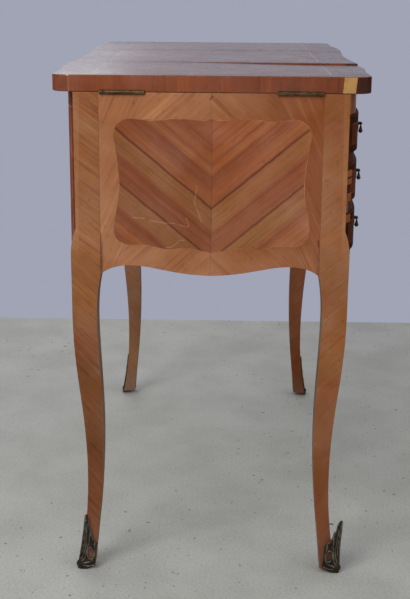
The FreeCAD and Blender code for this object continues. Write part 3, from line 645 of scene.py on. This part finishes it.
def crossBanding(name, look, level=False):
    surface, spot, (x, y, z), facing = newMaterial(name, shine=0.2)
    wood = grain(combine(x, z, 0.019) if level else combine(z, x, 0.019), look)
    front = facing["Y"] * -1.0 > 0.4
    also = {"boardEdgeVeneer": lambda: y < boardLook["proud"],      # the proud edge
            "dividerVeneer": lambda: z < look["lowest"],            # the kneehole's side
            "slideVeneer": lambda: facing["Z"] > 0.5}
    if name in also:
        front = calc("MAXIMUM", front, also[name]())
    bare = grain(combine(x, y + z), oakLook)
    veneer = wood["Color"]
    if "repair" in look:
        start, low, high, patch = look["repair"]
        veneer = mixColour(fade(x, start + mm, start) * within(z, low, high) * 0.8, veneer, patch)
    shade = mixColour(front, bare["Color"], veneer)
    finishWood(surface, spot, shade, wood["Height"], look)


def polishedWood():
    surface, spot, (x, y, z), facing = newMaterial("polishedWood")
    look = {**railLook, "light": tone(160, 106, 72), "middle": tone(134, 82, 54), "width": 1.6 * mm,
            "dirt": 0.25, "gloss": 0.3}
    wood = grain(combine(y, x, z), look)
    finishWood(surface, spot, wood["Color"], wood["Height"], look)


metals = {      # hollows, skin, rubbed edges, verdigris or rust, and the roughness of hollows and skin
    # on the shoes the shell's dark bronze is partly patina and partly painted shade in the recesses between the ribs;
    # the ribs' lighter bronze is partly wear and partly a painted highlight
    "agedBronze": [(46, 40, 33), (72, 64, 53), (150, 130, 96), (66, 66, 56), (0.56, 0.38)],
    "ribBronze": [(92, 86, 76), (146, 138, 124), (164, 152, 130), (92, 90, 80), (0.44, 0.3)],
    "hingeBrass": [(70, 54, 38), (124, 100, 68), (176, 146, 100), (84, 70, 52), (0.55, 0.34)],
    "nailIron": [(52, 44, 38), (92, 82, 72), (140, 130, 118), (96, 56, 34), (0.7, 0.45)],
}


def agedMetal(name):
    surface, spot, axes, facing = newMaterial(name, Metallic=0.85)
    deep, skin, worn, verdigris = (tone(*levels) for levels in metals[name][:4])
    clouds = noise(spot, 120.0, 3.0, 0.6)
    spots = noise(spot, 600.0, 3.0, 0.6)
    shade = mixColour(fade(clouds, 0.3, 0.7), deep, skin)
    shade = mixColour(fade(spots, 0.58, 0.76, 0.0, 0.3), shade, verdigris)
    rub = useGroup("rubbedEdge", Point=spot, Reach=0.8 * mm)["Mask"]
    feed(mixColour(rub * 0.8, shade, worn), surface["Base Color"])
    feed(fade(clouds, 0.3, 0.7, *metals[name][4]), surface["Roughness"])
    bump(surface, spots, 0.15 * mm, 0.4)


mirrorLook = {"silver": tone(226, 230, 230), "foxing": tone(96, 84, 66), "rim": (30 * mm, 2 * mm)}


def oldMirror():
    surface, spot, (x, y, z), facing = newMaterial("oldMirror", rough=0.03, Metallic=0.82)      # hazed
    low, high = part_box("mirror_glass")
    away = calc("MINIMUM", high.x - abs(x), calc("MINIMUM", high.y - y, y - low.y))
    fog = noise(spot, 60.0, 5.0, 0.75)
    spots = noise(spot, 320.0, 2.0, 0.6)
    foxing = fade(away, *mirrorLook["rim"]) * fade(fog, 0.42, 0.62) + fade(spots, 0.72, 0.8, 0.0, 0.7)
    feed(mixColour(calc("MINIMUM", foxing, 1.0), mirrorLook["silver"], mirrorLook["foxing"]), surface["Base Color"])
    feed(0.03 + foxing * 0.3, surface["Roughness"])


leatherLook = {
    "deep": tone(58, 32, 20), "skin": tone(98, 58, 36), "worn": tone(132, 88, 58), "gold": tone(188, 150, 84),
    "lines": [(5 * mm, 0.9 * mm), (8.2 * mm, 0.5 * mm)],        # inset and width of the tooled lines
}


def tooledLeather():
    look = leatherLook
    surface, spot, (x, y, z), facing = newMaterial("tooledLeather")
    low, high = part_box("slide_leather")
    v = y - (low.y + high.y) / 2
    pebble = place("TexVoronoi", {"Vector": spot, "Scale": 900.0})["Distance"]
    clouds = noise(spot, 26.0, 4.0, 0.6)
    shade = mixColour(fade(clouds, 0.3, 0.7), look["deep"], look["skin"])
    shade = mixColour(fade(noise(spot, 75.0, 4.0, 0.7), 0.6, 0.8, 0.0, 0.5), shade, look["worn"])
    gold = 0.0
    for inset, width in look["lines"]:
        edge = useGroup("fieldBorder", U=x, V=v, HalfU=(high.x - low.x) / 2 - inset,
                        HalfV=(high.y - low.y) / 2 - inset, Line=width)["Line"]
        gold = calc("MAXIMUM", edge, gold)
    gold = gold * fade(noise(spot, 110.0, 3.0, 0.6), 0.62, 0.45)      # rubbed off in places
    feed(mixColour(gold, shade, look["gold"]), surface["Base Color"])
    feed(fade(clouds, 0.3, 0.7, 0.6, 0.42), surface["Roughness"])
    bump(surface, pebble * 0.6 - gold, 0.2 * mm, 0.6)


for build in (legVeneer, panelVeneer, cartoucheVeneer, stringingWood, bareOak, backVeneer, polishedWood, oldMirror,
              tooledLeather):
    build()
topVeneer("flapVeneerNear", 259 * mm, 87 * mm, nearFlap=True)
topVeneer("flapVeneerFar", 259 * mm, 87 * mm)
topVeneer("leafVeneer", 0.0, 108 * mm, leaf=True)
frontVeneer("wellFrontVeneer", "well_front_right")
frontVeneer("upperDrawerVeneer", "upper_drawer_front_right")
frontVeneer("lowerDrawerVeneer", "lower_drawer_front_right")
frontVeneer("centreDrawerVeneer", "centre_drawer_front", False)
crossBanding("railVeneer", railLook)
crossBanding("boardEdgeVeneer", boardLook)
crossBanding("dividerVeneer", railLook, level=True)
crossBanding("slideVeneer", topLook)
for name in metals:
    agedMetal(name)
print("materials built:", len(materials))


# Pieces

def dress(node, name):
    piece = nodes[node]
    for slot in piece.material_slots:
        slot.material = materials[name]
    if not piece.material_slots:
        piece.data.materials.append(materials[name])


def newObject(name, data):
    made = bpy.data.objects.new(name, data)
    bpy.context.scene.collection.objects.link(made)
    return made


def shellOf(node):
    mesh = nodes[node].data
    return BVHTree.FromPolygons([vert.co for vert in mesh.vertices], [face.vertices for face in mesh.polygons])


def addPiece(name, shape, body, material, smooth=True):
    mesh = bpy.data.meshes.new(name)
    shape.to_mesh(mesh)
    shape.free()
    for face in mesh.polygons:
        face.use_smooth = smooth
    mesh.materials.append(materials[material])
    piece = newObject(name, mesh)
    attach(piece, body)
    return piece


sharp = radians(32)


def easedCopy(node, material, ease=0.5 * mm, weld=0.05 * mm, cuts=(), reshape=None):
    source = nodes[node]
    shape = bmesh.new()
    shape.from_mesh(source.data)
    bmesh.ops.remove_doubles(shape, verts=shape.verts, dist=0.01 * mm)
    bmesh.ops.dissolve_limit(shape, angle_limit=radians(0.5), verts=shape.verts, edges=shape.edges)
    bmesh.ops.dissolve_degenerate(shape, dist=weld, edges=shape.edges)
    for point, across in cuts:
        bmesh.ops.bisect_plane(shape, geom=shape.verts[:] + shape.edges[:] + shape.faces[:], plane_co=point,
                               plane_no=across)
    if reshape:
        for vert in shape.verts:
            vert.co = reshape(vert.co)
    for edge in shape.edges:
        if len(edge.link_faces) == 2 and edge.calc_face_angle() > sharp:
            edge.smooth = False
    piece = addPiece(node + "_eased", shape, source["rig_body"], material)
    if ease:
        bevel = piece.modifiers.new("easedEdges", "BEVEL")
        bevel.width, bevel.segments = ease, 2
        bevel.limit_method, bevel.angle_limit = "ANGLE", sharp
        bevel.use_clamp_overlap = bevel.harden_normals = True
    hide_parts(node)


for side in ("left", "right"):
    for end in ("front", "back"):
        easedCopy(f"leg_{end}_{side}", "legVeneer", 0.7 * mm, 1.2 * mm)
    easedCopy(f"side_panel_{side}", "panelVeneer", 0.4 * mm)
    easedCopy(f"divider_{side}", "dividerVeneer")
    for node, name in (("well_front", "wellFrontVeneer"), ("upper_drawer_front", "upperDrawerVeneer"),
                       ("lower_drawer_front", "lowerDrawerVeneer")):
        easedCopy(f"{node}_{side}", name, 0.6 * mm)
    for name, parts in (("boardEdgeVeneer", "well_floor dustboard column_floor"), ("hingeBrass", "flap_hinge_leaves"),
                        ("bareOak", "upper_drawer_box lower_drawer_box"), ("agedBronze", "shoe_front shoe_back"),
                        ("agedBronze", "upper_rosette lower_rosette well_drop upper_drop lower_drop")):
        for node in parts.split():
            dress(f"{node}_{side}", name)
easedCopy("centre_drawer_front", "centreDrawerVeneer", 0.3 * mm)
easedCopy("back_panel", "backVeneer")
for node in ("frieze_rail", "slide_rail", "kneehole_apron"):
    easedCopy(node, "railVeneer")
easedCopy("mirror_frame", "polishedWood", 0.8 * mm)
easedCopy("writing_slide", "slideVeneer", 0.4 * mm)
for name, parts in (("bareOak", "centre_drawer_box mirror_well_floor kneehole_board runners"),
                    ("hingeBrass", "hinge_plates mirror_hinge_leaves"), ("agedBronze", "well_rosettes slide_knobs"),
                    ("oldMirror", "mirror_glass"), ("tooledLeather", "slide_leather")):
    for node in parts.split():
        dress(node, name)

# The near flap has warped a little: towards the front its inner edge lies lower than the middle leaf
warp = {"drop": 2.9 * mm, "startX": 0.27, "startY": 0.11, "fullY": -0.19}


def easeInOut(share):
    share = max(0.0, min(1.0, share))
    return share * share * (3 - 2 * share)


def warped(point):
    reachX = easeInOut((warp["startX"] - abs(point.x)) / (warp["startX"] - case["dividerPlace"]))
    reachY = easeInOut((warp["startY"] - point.y) / (warp["startY"] - warp["fullY"]))
    rise = (point.z - case["lidUnderside"]) / (case["height"] - case["lidUnderside"])
    return Vector((point.x, point.y, point.z - warp["drop"] * reachX * reachY * max(0.0, rise)))


flapCuts = [(Vector((-0.01 * step, 0, 0)), Vector((1, 0, 0))) for step in range(14, 28)]
flapCuts += [(Vector((0, 0.02 * step, 0)), Vector((0, 1, 0))) for step in range(-10, 6)]
easedCopy("flap_left", "flapVeneerNear", 0, cuts=flapCuts, reshape=warped)
easedCopy("flap_right", "flapVeneerFar", 0)
easedCopy("mirror_leaf", "leafVeneer", 0)
print("wooden pieces eased and dressed")


# The cartouche on each side panel: an inlay with a pale string round it
cartouche = {
    "proud": 0.15 * mm, "sunk": 0.5 * mm, "string": 0.65 * mm, "stringProud": 0.2 * mm, "steps": 5,
    # half outline from the top peak round to the bottom tip: distance from the middle and level
    "half": [(0, 663.4), (7, 661.2), (16, 660.5), (31, 662.2), (45, 662.4), (57, 662.6), (73, 660.3), (83, 659.8),
             (97, 661.3), (109, 662.8), (118, 661.2), (126, 655.5), (131, 648), (131.8, 638.5), (130, 625),
             (127.5, 608), (125.5, 590), (124.6, 575), (125.5, 561), (127.3, 548), (130, 535), (132.4, 522),
             (133, 511), (131.2, 502), (125.5, 495.8), (116, 491.4), (104, 490.8), (90, 490.8), (77, 488.3),
             (66, 485.8), (55, 484.8), (42, 486.8), (31, 486.9), (15, 483.8), (6, 481.8), (0, 480)],
}


def smoothLine(points, steps):
    line = []
    for i in range(len(points) - 1):
        before = points[max(i - 1, 0)]
        after = points[min(i + 2, len(points) - 1)]
        a, b = points[i], points[i + 1]
        for step in range(steps):
            t = step / steps
            line.append(0.5 * (2 * a + (b - before) * t + (2 * before - 5 * a + 4 * b - after) * t * t
                               + (3 * a - before - 3 * b + after) * t ** 3))
    return line + [points[-1]]


def offsetLoop(loop, reach):
    moved = []
    for i, point in enumerate(loop):
        run = (loop[(i + 1) % len(loop)] - loop[i - 1]).normalized()
        moved.append(point + Vector((-run.y, run.x)) * reach)
    return moved


def slab(loops, outerX, innerX):
    shape = bmesh.new()
    rings = [[shape.verts.new((x, p.x, p.y)) for p in loop] for loop in loops for x in (outerX, innerX)]
    count = len(loops[0])
    if len(loops) == 1:
        shape.faces.new(rings[0])
        shape.faces.new(reversed(rings[1]))
        spans = [(rings[0], rings[1])]
    else:
        spans = [(rings[0], rings[1]), (rings[1], rings[3]), (rings[3], rings[2]), (rings[2], rings[0])]
    for first, second in spans:
        for i in range(count):
            j = (i + 1) % count
            shape.faces.new((first[i], second[i], second[j], first[j]))
    bmesh.ops.recalc_face_normals(shape, faces=shape.faces)
    return shape


half = smoothLine([Vector((y * mm, z * mm)) for y, z in cartouche["half"]], cartouche["steps"])
middle = cartoucheLook["middle"]
loop = [Vector((middle + p.x, p.y)) for p in half] + [Vector((middle - p.x, p.y)) for p in reversed(half[1:-1])]
ring = offsetLoop(loop, cartouche["string"])
for side, sign in (("left", -1), ("right", 1)):
    face = sign * case["halfLength"]
    back = face - sign * cartouche["sunk"]
    addPiece(f"cartouche_{side}", slab([loop], face + sign * cartouche["proud"], back), "carcass",
             "cartoucheVeneer", False)
    addPiece(f"cartouche_string_{side}", slab([loop, ring], face + sign * cartouche["stringProud"], back), "carcass",
             "stringingWood", False)
print("cartouches laid")


# Leafwork cast on the shoes. A place on a face is a share from the arris (0) to the outline (1), and a level in mm
leafWork = {
    "outline": [(0, 18.4), (30, 20.2), (37.9, 20.5), (43.9, 16.3), (54, 12.9), (63.2, 10.2), (75.6, 9.2), (82.5, 8.6)],
    "faceRibs": [   # line of places, and the rib's radius at its two ends
        ([(0.93, 79), (0.92, 70), (0.93, 60), (0.94, 50), (0.94, 43)], (0.5, 0.8)),
        ([(0.1, 15), (0.2, 21), (0.27, 31), (0.3, 44), (0.42, 57), (0.5, 69)], (0.8, 0.6)),
        ([(0.17, 12), (0.31, 16), (0.37, 24), (0.41, 34), (0.56, 42), (0.72, 50), (0.86, 54)], (0.9, 0.8)),
        ([(0.3, 8.8), (0.42, 9.5), (0.68, 11), (0.87, 17), (0.92, 27), (0.86, 35), (0.9, 40)], (0.65, 0.8)),
        ([(0.12, 26), (0.15, 38), (0.17, 50), (0.25, 62), (0.3, 74)], (0.6, 0.5)),
        ([(0.3, 5.2), (0.45, 4.7), (0.6, 4.4), (0.95, 6)], (0.5, 0.9)),
        ([(0.8, 50), (1.04, 57), (1.25, 64)], (1.2, 0.5)),
        ([(0.85, 36), (0.98, 41), (1.04, 45)], (1.1, 0.4)),
        ([(0.6, 65), (0.95, 70), (1.2, 74)], (0.8, 0.3)),
    ],
    "arris": ([(0, 14), (0, 24), (0, 36), (0, 48), (0, 60), (0, 72), (0, 81)], (0.8, 1.2)),
    "oval": (11.56, 23.5, 4.8, 8.8, 0.85),      # inset and level of its centre, two half sizes, rim radius
    "sides": 8, "steps": 4,
    # the loose shoe
    "lean": radians(12), "heading": radians(57), "ball": 4.095 * mm, "slip": 2.5 * mm,
}


def between(steps, value):
    for (a, b), (c, d) in zip(steps, steps[1:]):
        if value <= c:
            return b + (d - b) * (value - a) / (c - a)
    return steps[-1][1]


def onShoe(shell, face, share, level, inset=None):
    corner = Vector((case["halfLength"], -case["halfDepth"], level * mm))
    diagonal = Vector((1, -1, 0)).normalized()
    arris = shell.ray_cast(corner + diagonal * 0.05, -diagonal)[0]
    if not (inset or share):
        return arris, diagonal
    start = -(arris.x - corner.x)
    reach = inset * mm if inset else start + share * (between(leafWork["outline"], level) * mm - start)
    if face == 0:
        origin, inward = Vector((corner.x + 0.04, corner.y + reach, corner.z)), Vector((-1, 0, 0))
    else:
        origin, inward = Vector((corner.x - reach, corner.y - 0.04, corner.z)), Vector((0, 1, 0))
    spot, facing, index, away = shell.ray_cast(origin, inward)
    if spot is None or facing.dot(inward) > 0 or away > 0.065:
        return origin - inward * inward.dot(origin - arris), -inward
    return spot, facing


def sweep(shape, line, radii, closed=False):
    rings, count, sides = [], len(line), leafWork["sides"]
    for i, (spot, facing) in enumerate(line):
        ahead = line[(i + 1) % count][0] if closed else line[min(i + 1, count - 1)][0]
        behind = line[i - 1][0] if closed or i else line[0][0]
        run = (ahead - behind).normalized()
        aside = run.cross(facing).normalized()
        up = aside.cross(run)
        share = 0 if closed else i / (count - 1)
        radius = (radii[0] + (radii[1] - radii[0]) * share) * mm
        middle = spot + up * radius * 0.2
        rings.append([shape.verts.new(middle + (aside * cos(turn) + up * sin(turn)) * radius)
                      for turn in (2 * pi * k / sides for k in range(sides))])
    spans = list(zip(rings, rings[1:])) + ([(rings[-1], rings[0])] if closed else [])
    for first, second in spans:
        for k in range(sides):
            j = (k + 1) % sides
            shape.faces.new((first[k], first[j], second[j], second[k]))
    if not closed:
        shape.faces.new(rings[0])
        shape.faces.new(reversed(rings[-1]))


def buildLeafWork():
    shell = shellOf("shoe_front_right")
    shape = bmesh.new()
    for face in (0, 1):
        for places, radii in leafWork["faceRibs"]:
            curve = smoothLine([Vector(place) for place in places], leafWork["steps"])
            sweep(shape, [onShoe(shell, face, p.x, p.y) for p in curve], radii)
        inset, level, halfWide, halfHigh, radius = leafWork["oval"]
        turns = [2 * pi * k / 28 for k in range(28)]
        rim = [onShoe(shell, face, 1, level + halfHigh * sin(t), inset + halfWide * cos(t)) for t in turns]
        sweep(shape, rim, (radius, radius), True)
    places, radii = leafWork["arris"]
    sweep(shape, [onShoe(shell, 0, 0, level) for share, level in places], radii)
    bmesh.ops.recalc_face_normals(shape, faces=shape.faces)
    return shape


def looseTurn():
    ball = Vector((-case["halfLength"] - leafWork["ball"], -case["halfDepth"] - leafWork["ball"], 0))
    away = Vector((-cos(leafWork["heading"]), -sin(leafWork["heading"]), 0))
    turn = (Matrix.Translation(ball) @ Matrix.Rotation(leafWork["lean"], 4, Vector((0, 0, 1)).cross(away))
            @ Matrix.Translation(-ball))
    flip = Matrix.Scale(-1, 4, (1, 0, 0))
    lowest = min((turn @ flip @ vert.co).z for vert in nodes["shoe_front_right"].data.vertices)
    return Matrix.Translation((0, -leafWork["slip"], -lowest)) @ turn


ribs = buildLeafWork()
for end, flipY in (("front", 1), ("back", -1)):
    for side, flipX in (("right", 1), ("left", -1)):
        shape = ribs.copy()
        move = Matrix.Diagonal((flipX, flipY, 1, 1))
        if (end, side) == ("front", "left"):
            move = looseTurn() @ move
        bmesh.ops.transform(shape, matrix=move, verts=shape.verts)
        bmesh.ops.recalc_face_normals(shape, faces=shape.faces)
        addPiece(f"leaf_work_{end}_{side}", shape, "carcass", "ribBronze")
ribs.free()

# A bent nail left in the front left leg, where its shoe has slipped
nail = {"over": (-370 * mm, -0.3, 71.4 * mm), "run": [(0, 1.2, 0), (-0.3, -3.2, 0.5), (-0.6, -5.4, -0.4)],
        "radius": (0.8, 0.95)}
root = shellOf("leg_front_left").ray_cast(Vector(nail["over"]), Vector((0, 1, 0)))[0]
shape = bmesh.new()
line = smoothLine([root + Vector(step) * mm for step in nail["run"]], 4)
sweep(shape, [(point, Vector((-1, 0, 0))) for point in line], nail["radius"])
bmesh.ops.recalc_face_normals(shape, faces=shape.faces)
addPiece("bent_nail", shape, "carcass", "nailIron")
print("leafwork cast on the shoes")


# Camera
view = {
    "place": (-1.933, -0.0235, 0.8515), "yaw": radians(1.09695), "pitch": radians(15.70762),
    "roll": radians(0.43803), "lens": 70.035,
}


def addCamera():
    yaw, pitch, roll = view["yaw"], view["pitch"], view["roll"]
    ahead = Vector((cos(yaw) * cos(pitch), sin(yaw) * cos(pitch), -sin(pitch)))
    right = Vector((sin(yaw), -cos(yaw), 0))
    up = right.cross(ahead)
    turnedRight = cos(roll) * right + sin(roll) * up
    turnedUp = -sin(roll) * right + cos(roll) * up
    lens = bpy.data.cameras.new("photoCamera")
    lens.lens = view["lens"]
    lens.sensor_width = 36
    camera = newObject("photoCamera", lens)
    camera.matrix_world = Matrix((turnedRight, turnedUp, -ahead)).transposed().to_4x4()
    camera.location = view["place"]
    bpy.context.scene.camera = camera


# A pale floor and soft studio light: the main lamp stands behind the camera on its left
studio = {
    "floor": (-6.0, 0.9, -6.0, 6.0), "floorTone": tone(166, 167, 164), "floorMottle": tone(154, 155, 151),
    "speckTone": tone(92, 86, 78), "sand": (tone(240, 240, 240), (1.1, 1.1, 1.1, 1)),
    "wallTone": tone(160, 164, 181), "sideTone": tone(52, 43, 38), "ambient": 0.68,
    "lamps": [("keyLamp", (-2.1, 1.5, 2.3), 1.4, 48.0, (1.0, 0.98, 0.95)),
              ("fillLamp", (-1.4, -2.4, 1.8), 2.0, 16.0, (0.98, 0.99, 1.0)),
              ("backLamp", (2.4, 1.2, 2.2), 2.0, 14.0, (0.98, 0.99, 1.0))],
    "aim": (0.0, 0.0, 0.42),
}


def addFloor():
    surface, spot, axes, facing = newMaterial("paleFloor", rough=0.55)
    clouds = noise(spot, 7.0, 4.0, 0.6)
    patches = noise(spot, 1.7, 2.0, 0.5)
    specks = noise(spot, 75.0, 2.0, 0.6) + fade(patches, 0.4, 0.6, -0.03, 0.03)
    sand = noise(spot, 260.0, 3.0, 0.7)
    shade = mixColour(fade(clouds, 0.3, 0.7), studio["floorMottle"], studio["floorTone"])
    shade = mixColour(1.0, shade, mixColour(fade(sand, 0.3, 0.7), *studio["sand"]), "MULTIPLY")
    shade = mixColour(fade(specks, 0.7, 0.73, 0.0, 0.75), shade, studio["speckTone"])
    feed(shade, surface["Base Color"])
    x0, x1, y0, y1 = studio["floor"]
    mesh = bpy.data.meshes.new("floor")
    mesh.from_pydata([(x0, y0, 0), (x1, y0, 0), (x1, y1, 0), (x0, y1, 0)], [], [(0, 1, 2, 3)])
    mesh.materials.append(materials["paleFloor"])
    floor = newObject("floor", mesh)


def addLight():
    for name, spot, size, power, colour in studio["lamps"]:
        lamp = bpy.data.lights.new(name, "AREA")
        lamp.size = size
        lamp.energy = power
        lamp.color = colour
        holder = newObject(name, lamp)
        holder.location = spot
        holder.rotation_euler = (Vector(studio["aim"]) - Vector(spot)).to_track_quat("-Z", "Y").to_euler()
    world = bpy.data.worlds.new("paleRoom")
    world.use_nodes = True
    bpy.context.scene.world = world
    tree = world.node_tree
    room = tree.nodes["Background"]
    path = place("LightPath", {}, tree)
    seen = calc("MAXIMUM", calc("MAXIMUM", path["Is Camera Ray"], path["Is Glossy Ray"]), path["Is Transmission Ray"])
    heading = place("SeparateXYZ", {"Vector": place("TexCoord", {}, tree)["Generated"]})
    aside = fade(abs(heading["Y"]), 0.25, 0.6)      # the room is darker to either side
    mirrored = mixColour(aside * path["Is Glossy Ray"], studio["wallTone"], studio["sideTone"])
    feed(mixColour(seen, (1.0, 1.0, 1.0, 1.0), mirrored), room.inputs["Color"])
    feed(seen * (1 - studio["ambient"]) + studio["ambient"], room.inputs["Strength"])


addCamera()
addFloor()
addLight()
bpy.context.scene.view_settings.view_transform = "Standard"
print("camera, floor and light set")
